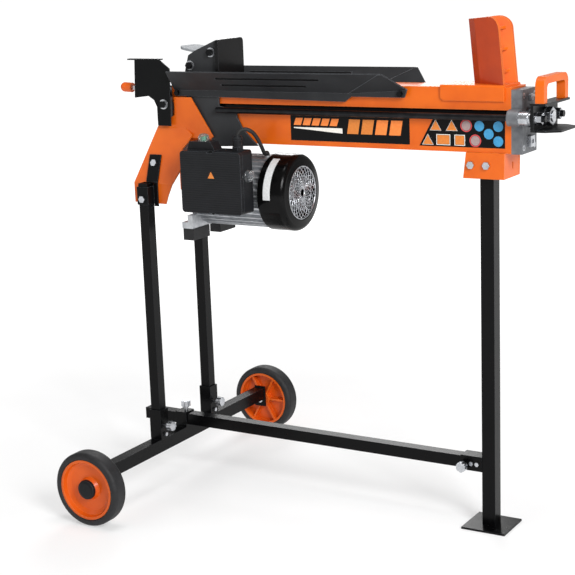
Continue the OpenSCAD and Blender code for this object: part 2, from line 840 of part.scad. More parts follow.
module switch_box_cover() {
    deep = switch_y[1] - switch_y[0];
    color(BLACK) difference() {
        translate([0, switch_y[1], 0]) rotate([90, 0, 0]) linear_extrude(deep) switch_front(0);
        translate([0, switch_y[1] + 1, 0]) rotate([90, 0, 0]) linear_extrude(deep - 2) switch_front(3);
        for (z = switch_z) span([-211, switch_y[0] - 1, z - 2.5], [-197, switch_y[0] + 5, z + 2.5]);
    }
}

// A clear dome over a button, along +Z
module boot() {
    rotate_extrude($fn = fine) polygon([[10.5, 0], [12.5, 0], [12.5, 2], [11.5, 3], [11.5, 8],
        [9, 12.5], [5, 14.5], [0, 15], [0, 13.6], [4.5, 13.2], [8, 11.4], [10.3, 7.6], [10.3, 1]]);
}

module switch_boots() {
    color("lightcyan", 0.4) {
        translate([start_pos.x, start_pos.y, hump_z]) boot();
        translate([switch_x[1], reset_pos.x, reset_pos.y]) rotate([0, 90, 0]) boot();
    }
}

// A push button along +Z: stem, cap and the flange that stops it inside the box
module button() {
    rod_z([0, 0, -16], 14, 10);
    rod_z([0, 0, -3], 11, 14);
    rod_z([0, 0, 8], 1.5, 12);
}

module start_button() {
    color("green") translate([start_pos.x, start_pos.y, hump_z]) button();
}

module reset_button() {
    color("firebrick") translate([switch_x[1], reset_pos.x, reset_pos.y]) rotate([0, 90, 0]) button();
}

module cable_gland() {
    color(BLACK) translate([gland_pos.x, gland_pos.y, switch_z[1]]) difference() {
        union() {
            rod_z([0, 0, -6], 8, 12);
            hex_z([0, 0, 0], 8, 21);
            rod_z([0, 0, 8], 13, 18);
            rod_z([0, 0, 21], 5, 20);
            translate([0, 0, 26]) cylinder(h = 4, d1 = 20, d2 = 14, $fn = fine);
        }
        rod_z([0, 0, -7], 50, 8.2);
    }
}

// ---- Motor lead, from the gland to the motor ----

lead_r = 4;
lead_route = [[-158, -98, 745], [-158, -98, 759], [-154, -95, 768], [-145, -87, 771],
    [-136, -77, 764], [-131, -67, 750], [-129, -57, 734], [-131, -46, 722], [-135, -34, 716],
    [-139, -22, 717], [-142, -13, 713], [-142, -12, 703], [-142, -12, 692]];
lead_n = len(lead_route) - 1;
lead_steps = 4;
lead_rings = lead_n * lead_steps;
lead_sides = 10;

function knot(i) = lead_route[max(0, min(lead_n, i))];
function lead_at(s) = let (i = min(lead_n - 1, floor(s)), t = s - i,
    a = knot(i - 1), b = knot(i), c = knot(i + 1), d = knot(i + 2))
    0.5 * (2 * b + (c - a) * t + (2 * a - 5 * b + 4 * c - d) * t * t + (3 * b - a - 3 * c + d) * t * t * t);
function unit(v) = v / norm(v);
function lead_dir(s) = unit(lead_at(min(lead_n, s + 0.05)) - lead_at(max(0, s - 0.05)));
function lead_ring(s) = let (t = lead_dir(s), u = unit(cross(t, [1, 0, 0])), v = cross(t, u))
    [for (j = [0:lead_sides - 1]) let (a = j * 360 / lead_sides)
        lead_at(s) + lead_r * (cos(a) * u + sin(a) * v)];

module motor_lead() {
    points = [for (k = [0:lead_rings]) each lead_ring(k / lead_steps)];
    sides = [for (k = [0:lead_rings - 1], j = [0:lead_sides - 1]) let (a = k * lead_sides,
        m = (j + 1) % lead_sides) [a + j, a + lead_sides + j, a + lead_sides + m, a + m]];
    first = [for (j = [0:lead_sides - 1]) j];
    last = [for (j = [lead_sides - 1:-1:0]) lead_rings * lead_sides + j];
    color(BLACK) polyhedron(points = points, faces = concat([first, last], sides));
}

// ---- Plates on the side of the beam ----

module side_panels() {
    color(BLACK) {
        side_sheet(-half_w - 0.5, 0.5, [[-73, 746], [185, 746], [185, 797], [-73, 797]]);
        side_sheet(-half_w - 0.5, 0.5, [[205, 745], [376, 745], [376, 797], [234, 797]]);
    }
}

// ---- Ram: piston rod, yoke, pull rods and pusher ----

module piston_rod() {
    color(STEEL) union() {
        rod_x([-300, 0, ram_z], 24, 50 - gap);
        rod_x([-276, 0, ram_z], yoke_x - 18 + 276, piston_rod_d);
        rod_x([yoke_x - 18, 0, ram_z], 22, 20);
    }
}

module pull_rods() {
    color(STEEL) both() rod_x([-238, pull_rod_y, ram_z], yoke_x + 6 + 238, pull_rod_d);
}

module yoke() {
    x = yoke_x - 18;
    color(BLACK) difference() {
        union() {
            end_sheet(x, 6) round_rect([-60, 778], [120, 52], 6);
            span([x, -61, 826], [yoke_x + 11, 61, 830]);
            translate([0, 0, 778]) linear_extrude(4)
                polygon([[x, -54], [yoke_x + 8, -54], [yoke_x + 32, -38], [yoke_x + 32, 38],
                    [yoke_x + 8, 54], [x, 54]]);
        }
        rod_x([x - 1, 0, ram_z], 10, 20);
        both() rod_x([x - 1, pull_rod_y, ram_z], 10, pull_rod_d);
    }
}

module rod_nuts() {
    x = yoke_x - 12;
    color(STEEL) {
        both() difference() {
            union() {
                rod_x([x, pull_rod_y, ram_z], 2, 22);
                hex_x([x + 2, pull_rod_y, ram_z], 10, 18);
            }
            rod_x([x - 1, pull_rod_y, ram_z], 20, pull_rod_d);
        }
        difference() {
            union() {
                rod_x([x, 0, ram_z], 3, 36);
                hex_x([x + 3, 0, ram_z], 11, 30);
            }
            rod_x([x - 1, 0, ram_z], 20, 20);
        }
    }
}

module carry_handle() {
    color(ORANGE) difference() {
        end_sheet(yoke_x - 9, 17) difference() {
            round_rect([-60, 830], [120, 47], 17);
            round_rect([-45, 822], [90, 42], 9);
            translate([-45, 820]) square([90, 20]);
        }
        span([yoke_x - 20, -60, 829], [yoke_x + 20, 60, 830]);
    }
    color(ORANGE) both() span([yoke_x - 9, 45, 830], [yoke_x + 8, 60, 850]);
}

push_x = pusher_x - 8;              // back of the pusher plate, where the slide plates end
push_bolts = [[-250, 916], [-301, 890]];

module pusher_plate() {
    color(BLACK) difference() {
        union() {
            end_sheet(push_x, 8) difference() {
                round_rect([-47, 850], [94, 91], 9);
                translate([-60, 840]) square([120, 18]);
            }
            span([-308, -plate_y, 858], [push_x, plate_y, 863]);
            for (y = [-plate_y, plate_y - 8]) side_sheet(y, 8,
                [[push_x, 863], [push_x, 934], [-290, 913], [-303, 906], [-311, 884], [-308, 863]]);
        }
        for (b = push_bolts) rod_y([b.x, -50, b.y], 100, 10);
    }
}

slide_outline = [[-314, 800], [-314, 880], [-305, 910], [-289, 919], [-238, 940], [push_x, 940],
    [push_x, 809], [-195, 803], [-195, 789], [-182, 765], [-148, 732], [-244, 728]];

module slide_plate() {
    color(BLACK) difference() {
        union() {
            side_sheet(-plate_y - plate_t, plate_t, slide_outline);
            span([-236, -plate_y - plate_t - 2, 796], [-200, -plate_y - plate_t, 802]);
        }
        rod_x([-300, -pull_rod_y, ram_z], 200, pull_rod_d);
        for (b = push_bolts) rod_y([b.x, -50, b.y], 20, 10);
    }
}

module front_slide_plate() {
    slide_plate();
}

module rear_slide_plate() {
    mirror([0, 1, 0]) slide_plate();
}

module pusher_cover() {
    color("gainsboro") intersection() {
        side_sheet(-plate_y, 2 * plate_y, [[push_x, 940], [-289, 919], [-334, 928],
            [-334, 923], [-289, 914.6], [push_x, 936.6]]);
        translate([0, 0, 900]) linear_extrude(60)
            round_rect([-333, -plate_y], [push_x + 20 + 333, 2 * plate_y], 17);
    }
}

module pusher_bolts() {
    color(STEEL) both() for (b = push_bolts) {
        rod_y([b.x, plate_y - 8, b.y], 8 + plate_t, 10);
        rod_y([b.x, plate_y + plate_t, b.y], 2, 19);
        hex_y([b.x, plate_y + plate_t + 2, b.y], 6, 13);
    }
}

// ---- Lever, spool ----

module at_lever() {
    translate([pivot.x, lever_y, pivot.y]) rotate([0, 2.7, 0]) children();
}

module control_lever() {
    color(STEEL) at_lever() difference() {
        union() {
            span([-100, -4, -4], [0, 4, 4]);
            rod_y([0, -4, 0], 8, 16);
        }
        rod_y([0, -5, 0], 10, 6 + gap);
    }
}

module lever_grip() {
    color(ORANGE) at_lever() difference() {
        union() {
            rod_x([-108, 0, 0], 18, 20);
            translate([-108, 0, 0]) sphere(d = 20, $fn = fine);
        }
        span([-100, -4, -4], [0, 4, 4]);
    }
}

module valve_spool() {
    color(STEEL) rod_z([spool_x, lever_y, 796], 38, 10);
}

upper_channel();
lower_channel();
cylinder_tube();
cylinder_head();
head_fittings();
valve_body();
lever_pin();
wedge_saddle();
wedge();
front_tray();
rear_tray();
cover_bolts();
lever_guard();
front_side_bracket();
rear_side_bracket();
bracket_straps();
stand_bolts();
left_legs();
axle_frame();
base_bar();
clamp_knobs();
foot_bracket();
right_leg();
foot_plate();
leg_fittings();
pump_housing();
motor_feet();
motor_shield();
motor_housing();
fan_cover();
fan_grille();
switch_box();
switch_box_cover();
switch_boots();
cable_gland();
motor_lead();
side_panels();
piston_rod();
pull_rods();
yoke();
rod_nuts();
carry_handle();
pusher_plate();
front_slide_plate();
rear_slide_plate();
pusher_cover();
pusher_bolts();
control_lever();
lever_grip();
valve_spool();
start_button();
reset_button();
motor_rotor();
idler_gear();
front_rim();
front_tyre();
front_hub_cap();
rear_rim();
rear_tyre();
rear_hub_cap();
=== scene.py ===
# %% [markdown]
# # An electric log splitter on its wheeled stand
# The machine itself comes from CAD: every bracket, bolt and tube is already the right size and in the
# right place. Here it gets its paints, plastics and rubbers, and the small pieces that are easier to
# model with Blender's mesh tools than in CAD. Lengths are in metres, +Z is up and +X runs along the
# beam to the wedge.

import math

import bpy
from mathutils import Matrix, Vector


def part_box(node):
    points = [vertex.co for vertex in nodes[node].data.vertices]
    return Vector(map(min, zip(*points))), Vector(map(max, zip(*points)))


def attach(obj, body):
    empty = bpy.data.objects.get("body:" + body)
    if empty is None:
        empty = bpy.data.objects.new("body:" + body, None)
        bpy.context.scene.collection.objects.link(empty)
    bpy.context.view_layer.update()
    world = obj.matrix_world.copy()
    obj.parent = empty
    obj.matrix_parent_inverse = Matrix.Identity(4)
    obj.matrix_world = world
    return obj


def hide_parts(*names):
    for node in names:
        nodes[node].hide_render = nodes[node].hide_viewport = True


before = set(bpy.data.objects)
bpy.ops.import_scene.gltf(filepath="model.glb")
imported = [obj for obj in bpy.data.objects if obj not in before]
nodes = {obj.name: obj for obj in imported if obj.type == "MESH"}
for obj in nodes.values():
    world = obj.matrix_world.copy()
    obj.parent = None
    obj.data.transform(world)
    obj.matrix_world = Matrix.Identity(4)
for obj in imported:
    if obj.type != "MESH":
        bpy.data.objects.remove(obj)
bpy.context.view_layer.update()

# %% [markdown]
# ## Camera
# A product shot of something long wants a long lens, so the near wheel does not look swollen next to
# the far one. A lens of about 93 mm from three metres away does that. The camera is turned two degrees
# about its own axis, which is how such shots are often hung to make the beam fall gently to the right.

# %% Set the camera
azimuth, elevation, roll = math.radians(31.11), math.radians(12.8), math.radians(-2.08)
back = Vector((math.sin(azimuth) * math.cos(elevation), -math.cos(azimuth) * math.cos(elevation),
               math.sin(elevation)))
right = Vector((math.cos(azimuth), math.sin(azimuth), 0))
up = back.cross(right)
cam_right = right * math.cos(roll) + up * math.sin(roll)
cam_up = up * math.cos(roll) - right * math.sin(roll)

camera = bpy.data.objects.new("camera", bpy.data.cameras.new("camera"))
bpy.context.collection.objects.link(camera)
camera.data.sensor_width = 36
camera.data.lens = 92.736
camera_place = (1.40865, -2.52520, 1.10793)
turn = Matrix((cam_right, cam_up, back)).transposed().to_4x4()
camera.matrix_world = Matrix.Translation(camera_place) @ turn
bpy.context.scene.camera = camera
print("lens", round(camera.data.lens, 1), "mm")

# %% [markdown]
# ## Floor and light
# A studio for dark, glossy machines needs big soft lights: black paint is seen almost only by what it
# reflects. The main light stands far to the right, so the faces that look left, such as the wedge's
# flank, stay deep, and the flank's enamel also carries a painted shade. A weak light fills the left,
# one hangs overhead and one stands behind. The surroundings look white, but light the machine with a
# third of that, because a full white room would turn black paint grey.

# %% Floor, lights and surroundings
def mesh_object(name, points, faces, smooth=False):
    mesh = bpy.data.meshes.new(name)
    mesh.from_pydata([tuple(p) for p in points], [], faces)
    mesh.validate()
    mesh.update()
    for face in mesh.polygons:
        face.use_smooth = smooth
    made = bpy.data.objects.new(name, mesh)
    bpy.context.collection.objects.link(made)
    return made


def area_light(name, place, size, power):
    lamp = bpy.data.lights.new(name, "AREA")
    lamp.shape = "RECTANGLE"
    lamp.size, lamp.size_y = size
    lamp.energy = power
    made = bpy.data.objects.new(name, lamp)
    bpy.context.collection.objects.link(made)
    made.location = place
    made.rotation_euler = (Vector(place) - machine_middle).to_track_quat("Z", "Y").to_euler()


machine_middle = Vector((0, 0, 0.6))
half, floor_z = 9.0, -0.0005
corners = [(-half, -half, floor_z), (half, -half, floor_z), (half, half, floor_z), (-half, half, floor_z)]
floor = mesh_object("floor", corners, [(0, 1, 2, 3)])
area_light("key", (3.0, -2.1, 2.4), (1.3, 1.6), 146)
area_light("left_fill", (-2.6, -2.6, 1.8), (0.8, 1.8), 7)
area_light("top", (0.2, -0.2, 3.4), (1.6, 1.0), 34)
area_light("rear", (-1.6, 2.8, 2.0), (1.4, 1.4), 40)

world = bpy.data.worlds.new("studio")
bpy.context.scene.world = world
world.use_nodes = True
seen, lighting = 1.05, 0.34
surround = world.node_tree.nodes["Background"]
surround.inputs["Color"].default_value = (1, 1, 1, 1)
ray = world.node_tree.nodes.new("ShaderNodeLightPath")
level = world.node_tree.nodes.new("ShaderNodeMapRange")
level.inputs["To Min"].default_value, level.inputs["To Max"].default_value = lighting, seen
world.node_tree.links.new(ray.outputs["Is Camera Ray"], level.inputs["Value"])
world.node_tree.links.new(level.outputs["Result"], surround.inputs["Strength"])
bpy.context.scene.view_settings.view_transform = "Standard"
print("4 lights, floor", 2 * half, "m wide")

# %% [markdown]
# ## Helpers for materials
# Paint colours are easiest to state as hex values, as on a paint chart, but Blender mixes light in
# linear values, so one function converts them. A second one adds a node, gives it its settings and
# joins its inputs. Pattern sizes are given in millimetres: a noise texture repeats about once per unit
# of its scaled coordinates, so a scale of 1000 / size gives spots of that size.

# %% Colour and node helpers
def colour(text):
    parts = [int(text[i:i + 2], 16) / 255 for i in (1, 3, 5)]
    return tuple(v / 12.92 if v <= 0.04045 else ((v + 0.055) / 1.055) ** 2.4 for v in parts) + (1.0,)


def per_mm(size):
    return 1000 / size


def add(material, kind, settings=None, stops=(), **inputs):
    """Adds one node. Settings are its own properties, stops are a ramp's two (place, colour) pairs, and
    inputs are values or other nodes' outputs. An input may be named by its number, as in i0 or i6."""
    made = material.node_tree.nodes.new(kind)
    for key, value in (settings or {}).items():
        setattr(made, key, value)
    for k, (place, tint) in enumerate(stops):
        made.color_ramp.elements[k].position, made.color_ramp.elements[k].color = place, tint
    for key, value in inputs.items():
        numbered = key[0] == "i" and key[1:].isdigit()
        socket = made.inputs[int(key[1:]) if numbered else key.replace("_", " ")]
        if isinstance(value, bpy.types.NodeSocket):
            material.node_tree.links.new(value, socket)
        else:
            socket.default_value = value
    return made


def new_material(name):
    material = bpy.data.materials.new(name)
    material.use_nodes = True
    material.node_tree.nodes.clear()
    return material


print("helpers ready; orange is", [round(v, 3) for v in colour("#F0741A")[:3]])

# %% [markdown]
# ## Edges
# Real sheet metal never has a perfectly sharp edge. Bending, shearing and the paint itself leave a
# radius of about half a millimetre, and it is that small curve that catches a bright line of light.
# Blender's Bevel node bends the shading at edges without changing the mesh. Where the bent normal
# differs from the true one there is an edge, so the same node also gives a mask for a paler edge
# tone, which is partly paint that has thinned there and partly a painted highlight.

# %% Rounded edges and an edge mask
def edge_normal(material, radius_mm):
    return add(material, "ShaderNodeBevel", {"samples": 4}, Radius=radius_mm / 1000).outputs["Normal"]


def edge_mask(material, normal):
    true = add(material, "ShaderNodeNewGeometry").outputs["Normal"]
    dot = add(material, "ShaderNodeVectorMath", {"operation": "DOT_PRODUCT"}, i0=normal, i1=true)
    return add(material, "ShaderNodeValToRGB", stops=((0.86, (1, 1, 1, 1)), (0.985, (0, 0, 0, 1))),
               Fac=dot.outputs["Value"]).outputs["Color"]


print("edge helpers ready")

# %% [markdown]
# ## What all finishes share
# No finish is one flat colour. Its tone drifts a little over some centimetres, its gloss drifts over
# smaller patches, and a fine grain breaks up the highlights. All three come from noise of a stated
# size. The grain of ground bars runs round them, so the noise can be squeezed along one axis.

# %% Drifting tone, drifting gloss and grain
def spots(material, size_mm, detail=3.0, squeeze=(1, 1, 1)):
    """Noise whose spots are size_mm across, or less along an axis that is squeezed."""
    place = add(material, "ShaderNodeTexCoord").outputs["Object"]
    scaled = add(material, "ShaderNodeVectorMath", {"operation": "MULTIPLY"}, i0=place, i1=squeeze)
    return add(material, "ShaderNodeTexNoise", Vector=scaled.outputs["Vector"], Scale=per_mm(size_mm),
               Detail=detail).outputs["Fac"]


def drift(material, size_mm, deep, light, detail=3.0, ends=(0.3, 0.7)):
    """A colour that drifts between two tones over spots of size_mm."""
    stops = ((ends[0], colour(deep)), (ends[1], colour(light)))
    return add(material, "ShaderNodeValToRGB", stops=stops,
               Fac=spots(material, size_mm, detail)).outputs["Color"]


def skin(material, edge, grain_mm, depth_mm, patch_mm, gloss, grain_detail=2.0, patch_detail=3.0,
         squeeze=(1, 1, 1)):
    """Roughness that drifts between two values over patches, and a grain of depth_mm over the edges."""
    patches = spots(material, patch_mm, patch_detail, squeeze)
    rough = add(material, "ShaderNodeMapRange", Value=patches, To_Min=gloss[0], To_Max=gloss[1])
    grain = spots(material, grain_mm, grain_detail, squeeze)
    under = {} if edge is None else {"Normal": edge}
    bump = add(material, "ShaderNodeBump", Height=grain, Distance=depth_mm / 1000, **under)
    return rough.outputs["Result"], bump.outputs["Normal"]


def finish_surface(material, base, rough, normal, **sockets):
    shader = add(material, "ShaderNodeBsdfPrincipled", Base_Color=base, Roughness=rough, Normal=normal,
                 **sockets)
    add(material, "ShaderNodeOutputMaterial", Surface=shader.outputs["BSDF"])
    return material


print("surface helpers ready")

# %% [markdown]
# ## Orange enamel
# The beam, wedge and brackets are steel sprayed with a glossy enamel. Sprayed paint dries with a faint
# waviness about two millimetres across, called orange peel, and its colour shifts a little where the
# coat is thicker. A clear layer over the colour gives the sharp highlight on top of the soft one. The
# wedge's flanks, the faces that look against +X towards the log, are painted a deeper, redder tone, which is
# a painted shade.

# %% Orange enamel and the moulded orange plastic
def enamel(name, light, deep, peel_mm=2.2, coat=0.15, shaded=None):
    m = new_material(name)
    edge = edge_normal(m, 1.0)
    tone = drift(m, 60, deep, light)
    if shaded:
        # faces that look towards the log, against +X, take a deeper tone: painted shade on the wedge's
        # flanks
        facing = add(m, "ShaderNodeNewGeometry").outputs["True Normal"]
        ahead = add(m, "ShaderNodeSeparateXYZ", Vector=facing).outputs["X"]
        flank_shade = add(m, "ShaderNodeMapRange", Value=ahead, From_Min=-0.04, From_Max=-0.12)
        tone = add(m, "ShaderNodeMix", {"data_type": "RGBA"}, i0=flank_shade.outputs["Result"], i6=tone,
                   i7=drift(m, 40, *shaded)).outputs[2]
    # edges take a paler orange: partly thinned paint, partly a painted highlight
    edge_wear_and_highlight = add(m, "ShaderNodeMix", {"data_type": "RGBA"}, i0=edge_mask(m, edge), i6=tone,
               i7=colour("#F08A3A")).outputs[2]
    rough, normal = skin(m, edge, peel_mm, 0.02, 25, (0.3, 0.42), grain_detail=1.0)
    return finish_surface(m, edge_wear_and_highlight, rough, normal, Coat_Weight=coat, Coat_Roughness=0.12,
                          Specular_IOR_Level=0.25)


orange_enamel = enamel("orange spray enamel", "#DF660E", "#D05808")
# the wedge's flanks take a deeper, redder tone, which is painted shade
wedge_enamel = enamel("orange enamel with painted shade on the flanks", "#DF660E", "#D05808",
                      shaded=("#AE3806", "#BC4009"))
orange_plastic = enamel("moulded orange polypropylene", "#E06014", "#D2540E", peel_mm=0.8, coat=0.1)
print("orange enamel, rubbed enamel and plastic")

# %% [markdown]
# ## Black finishes
# Several different blacks keep the machine from looking like one dark lump. Powder coat on the sheet
# parts is satin with a fine texture of about half a millimetre, and its sheared edges are painted a paler
# line, partly thinned paint and partly a painted highlight. The tubes are smooth and glossier, and the
# sliding plates are painted a paler black that stands in for the light on them. The switch box is ABS
# with a fine moulded grain and ribs on its cover, and the fan cover is polished in the mould, so it
# mirrors the lights.

# %% Black powder coat, paint and plastics
def black(name, deep, light, edge_tone, gloss, grain_mm, depth_mm, coat=0.0, bevel_mm=0.8, ribs_mm=0,
          shine=0.16):
    m = new_material(name)
    edge = edge_normal(m, bevel_mm)
    # edges take the paler edge_tone: partly thinned paint, partly a painted highlight
    tinted = add(m, "ShaderNodeMix", {"data_type": "RGBA"}, i0=edge_mask(m, edge),
                 i6=drift(m, 45, deep, light, ends=(0.25, 0.8)), i7=colour(edge_tone)).outputs[2]
    rough, normal = skin(m, edge, grain_mm, depth_mm, 18, gloss)
    if ribs_mm:
        # a band texture repeats every 0.314 / scale
        place = add(m, "ShaderNodeTexCoord").outputs["Object"]
        ribs = add(m, "ShaderNodeTexWave", {"wave_type": "BANDS", "bands_direction": "Z"}, Vector=place,
                   Scale=0.314 * per_mm(ribs_mm)).outputs["Fac"]
        normal = add(m, "ShaderNodeBump", Height=ribs, Distance=0.00035, Normal=normal).outputs["Normal"]
    # a floor this bright would turn black paint grey, so the plain reflection is held back
    return finish_surface(m, tinted, rough, normal, Coat_Weight=coat, Coat_Roughness=0.15,
                          Specular_IOR_Level=shine)


black_powder = black("satin black powder coat", "#0A0B0C", "#0F1011", "#54575B", (0.3, 0.42), 0.6, 0.02,
                     shine=0.1)
# the sliding plates are painted a paler black, which stands in for the light on their faces
slide_paint = black("black paint of the sliding plates, painted paler for light", "#2C2D2F", "#38393B", "#7E8186",
                    (0.36, 0.48), 1.4, 0.02)
black_gloss = black("gloss black tube paint", "#060607", "#0A0A0B", "#2E3033", (0.22, 0.3), 1.8, 0.012,
                    coat=0.03, shine=0.1)
black_plate = black("black paint on thick plate", "#0B0B0C", "#101112", "#46484C", (0.26, 0.36), 1.4, 0.02,
                    coat=0.06)
black_abs = black("fine-grained black ABS", "#151618", "#1B1C1F", "#404347", (0.4, 0.5), 0.35, 0.03,
                  bevel_mm=1.6)
ribbed_abs = black("black ABS moulded with fine ribs", "#17181A", "#1D1E21", "#484B50", (0.36, 0.46), 0.35,
                   0.02, bevel_mm=1.6, ribs_mm=4.5)
black_polished = black("polished black polypropylene", "#060606", "#0A0A0B", "#1C1D1F", (0.16, 0.22), 6.0,
                       0.01, coat=0.08, bevel_mm=1.5, shine=0.08)
print("seven black finishes")

# %% [markdown]
# The trays' coat is painted a paler black, which stands in for the light they catch. Two shallow
# grooves are pressed into each sloping sheet, and they are painted near-black, a painted shade in
# them. The mask measures how far up the slope a point lies and compares that with the height of each
# groove.

# %% Powder coat of the trays, painted paler, with painted shade in the grooves
fold_y, fold_z = 0.0423, 0.8417      # lower bend of a tray
slope = math.atan2(34, 39)           # its lean away from upright
# start, end and height up the slope of each groove
tray_grooves = [(-0.219, -0.024, 0.017), (-0.225, 0.010, 0.035)]
groove_half = 0.0026


def tray_coat():
    m = new_material("black powder coat of the trays, paler for painted light")
    edge = edge_normal(m, 0.8)
    # the coat is painted paler than the other blacks to stand in for light; edges take a paler grey, partly
    # thinned paint and partly a painted highlight
    tinted = add(m, "ShaderNodeMix", {"data_type": "RGBA"}, i0=edge_mask(m, edge),
                 i6=drift(m, 45, "#232426", "#2F3032", ends=(0.25, 0.8)), i7=colour("#7A7D82")).outputs[2]
    place = add(m, "ShaderNodeTexCoord").outputs["Object"]
    parts = add(m, "ShaderNodeSeparateXYZ", Vector=place).outputs
    side = add(m, "ShaderNodeMath", {"operation": "ABSOLUTE"}, i0=parts["Y"]).outputs["Value"]
    out = add(m, "ShaderNodeMath", {"operation": "MULTIPLY_ADD"}, i0=side, i1=math.sin(slope),
              i2=-fold_y * math.sin(slope) - fold_z * math.cos(slope)).outputs["Value"]
    height = add(m, "ShaderNodeMath", {"operation": "MULTIPLY_ADD"}, i0=parts["Z"], i1=math.cos(slope),
                 i2=out).outputs["Value"]
    for start, end, level in tray_grooves:
        across = add(m, "ShaderNodeMath", {"operation": "COMPARE"}, i0=height, i1=level, i2=groove_half)
        along = add(m, "ShaderNodeMath", {"operation": "COMPARE"}, i0=parts["X"], i1=(start + end) / 2,
                    i2=(end - start) / 2)
        inside = add(m, "ShaderNodeMath", {"operation": "MULTIPLY"}, i0=across.outputs["Value"],
                     i1=along.outputs["Value"]).outputs["Value"]
        # the grooves are painted near-black: painted shade
        tinted = add(m, "ShaderNodeMix", {"data_type": "RGBA"}, i0=inside, i6=tinted,
                     i7=colour("#050506")).outputs[2]
    rough, normal = skin(m, edge, 0.6, 0.02, 18, (0.36, 0.5))
    return finish_surface(m, tinted, rough, normal, Specular_IOR_Level=0.16)


tray_powder = tray_coat()
print("tray coat with", len(tray_grooves), "grooves")

# %% [markdown]
# ## Tyre rubber
# Solid tyres of this size are moulded in rubber with a matte face. The tread picks up grey dust, and
# the mould leaves a fine roughness of about a millimetre. The feet and the jacket of the lead are
# softer and cleaner blacks.

# %% Tyre and moulded rubber
def rubber(name, face, dust, grain_mm):
    m = new_material(name)
    tone = drift(m, 14, face, dust, detail=6.0, ends=(0.35, 0.75))
    rough, normal = skin(m, edge_normal(m, 1.2), grain_mm, 0.08, 9, (0.55, 0.75), grain_detail=4.0)
    return finish_surface(m, tone, rough, normal)


tyre_rubber = rubber("solid tyre rubber", "#0F0F11", "#1D1D20", 1.1)
moulded_rubber = rubber("moulded EPDM rubber", "#121213", "#1D1D1F", 0.8)
lead_rubber = rubber("black PVC lead jacket", "#0D0D0E", "#161617", 2.5)
print("three rubbers")

# %% [markdown]
# ## Bare and sprayed metals
# Zinc plating is bright but slightly milky, with brushed lines from the wire it was made of. Hard
# chrome on the rods is ground before plating, so it mirrors with hair lines round it. The motor is die
# cast aluminium under silver spray, rougher, with a pebbled skin of about a millimetre, and the
# hydraulic blocks are grey iron castings. A metal keeps Blender's own IOR and gets its look from colour
# and roughness.

# %% Steel, chrome, aluminium and iron
def metal(name, bright, dull, gloss, grain_mm, depth_mm, squeeze=(1, 1, 1), metallic=1.0, bevel_mm=0.5,
          **sockets):
    m = new_material(name)
    rough, normal = skin(m, edge_normal(m, bevel_mm), grain_mm, depth_mm, 3.0, gloss, grain_detail=3.0,
                         patch_detail=2.0, squeeze=squeeze)
    return finish_surface(m, drift(m, 12, dull, bright, detail=5.0), rough, normal, Metallic=metallic,
                          **sockets)


round_the_bar = (8, 1, 1)
zinc = metal("bright zinc plated steel", "#D2D4D8", "#A6A9AE", (0.2, 0.36), 0.7, 0.01)
chrome = metal("hard chromed bar", "#D6D8DC", "#B4B7BC", (0.12, 0.24), 0.5, 0.004, round_the_bar)
oxide_bar = metal("ground bar with black oxide", "#2B2C2E", "#1E1F21", (0.3, 0.42), 0.5, 0.006,
                  round_the_bar, 0.85)
silver_cast = metal("silver sprayed die casting", "#D3D5D8", "#B2B5B9", (0.38, 0.52), 1.2, 0.06,
                    metallic=0.7)
grey_iron = metal("grey painted iron casting", "#77797C", "#5A5C60", (0.42, 0.58), 1.5, 0.12,
                  metallic=0.35, bevel_mm=1.0)
# the pusher cover is its own grey, set darker so that it also carries painted shade
dark_paint = metal("mid grey sheet paint", "#9A9DA0", "#85888C", (0.55, 0.7), 1.6, 0.02, metallic=0.0,
                   Specular_IOR_Level=0.1)


def bolt_finish(name, middle_mm, reach_mm):
    """Zinc within reach_mm of a distance from the middle plane, where the washer is, and black elsewhere."""
    m = new_material(name)
    place = add(m, "ShaderNodeTexCoord").outputs["Object"]
    side = add(m, "ShaderNodeSeparateXYZ", Vector=place).outputs["Y"]
    off = add(m, "ShaderNodeMath", {"operation": "ABSOLUTE"}, i0=side).outputs["Value"]
    washer = add(m, "ShaderNodeMath", {"operation": "COMPARE"}, i0=off, i1=middle_mm / 1000,
                 i2=reach_mm / 1000).outputs["Value"]
    tinted = add(m, "ShaderNodeMix", {"data_type": "RGBA"}, i0=washer, i6=colour("#1B1C1D"),
                 i7=drift(m, 5, "#A6A9AE", "#D2D4D8", detail=4.0)).outputs[2]
    rough, normal = skin(m, edge_normal(m, 0.5), 0.7, 0.01, 3.0, (0.24, 0.38), grain_detail=3.0)
    return finish_surface(m, tinted, rough, normal, Metallic=0.9)


pusher_bolt_zinc = bolt_finish("black bolts on zinc washers of the pusher", 20.5, 21.6)
cover_bolt_zinc = bolt_finish("black bolts with a zinc washer on the guard", 55.8, 2.3)
print("eight metals")

# %% [markdown]
# ## Small plastics
# The push buttons sit under clear flexible boots. A boot is soft vinyl a millimetre and a half thick:
# it lets light through but blurs it a little and keeps a highlight, which is what tells the eye that
# something covers the button.

# %% Boot, buttons and the blank label
def plain_plastic(name, light, deep, rough_low, grain_mm=4.0):
    m = new_material(name)
    edge = edge_normal(m, 0.3)
    rough, normal = skin(m, edge, grain_mm / 3, 0.01, grain_mm * 2, (rough_low, rough_low + 0.1))
    return finish_surface(m, drift(m, grain_mm, deep, light), rough, normal)


